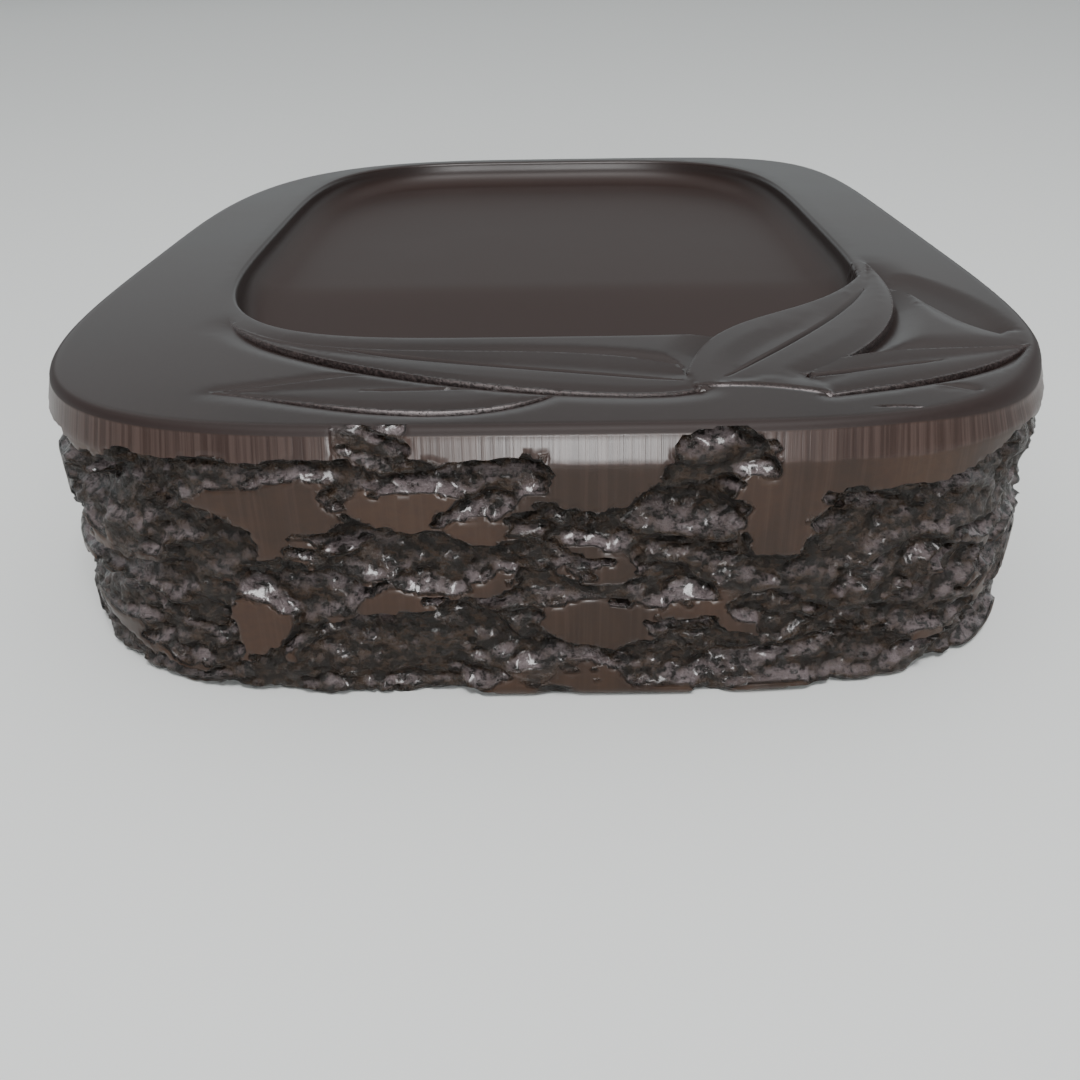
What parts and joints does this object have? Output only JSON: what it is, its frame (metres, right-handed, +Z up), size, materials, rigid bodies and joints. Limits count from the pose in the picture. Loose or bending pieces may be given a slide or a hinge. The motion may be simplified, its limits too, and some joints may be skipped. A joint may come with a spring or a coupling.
{
  "type": "inkstone",
  "caption": "Inkstone cut from a single slate block: rounded rectangular top with a sunk ink pond, bamboo leaves carved on the wide rim, rough riven flanks.",
  "frame": {"origin": "middle of the flat base, on the surface that the stone rests on", "axes": "+Z up out of the polished top, -Y towards the carved well end, +X to the right when the carved end faces the viewer"},
  "size_m": [0.1532, 0.188, 0.041],
  "materials": {
    "slate": "dark reddish-purple slate: polished satin top, finely scratched ground band, glossy riven flanks"
  },
  "bodies": {
    "root": {"inkstone": "slate"}
  },
  "joints": []
}
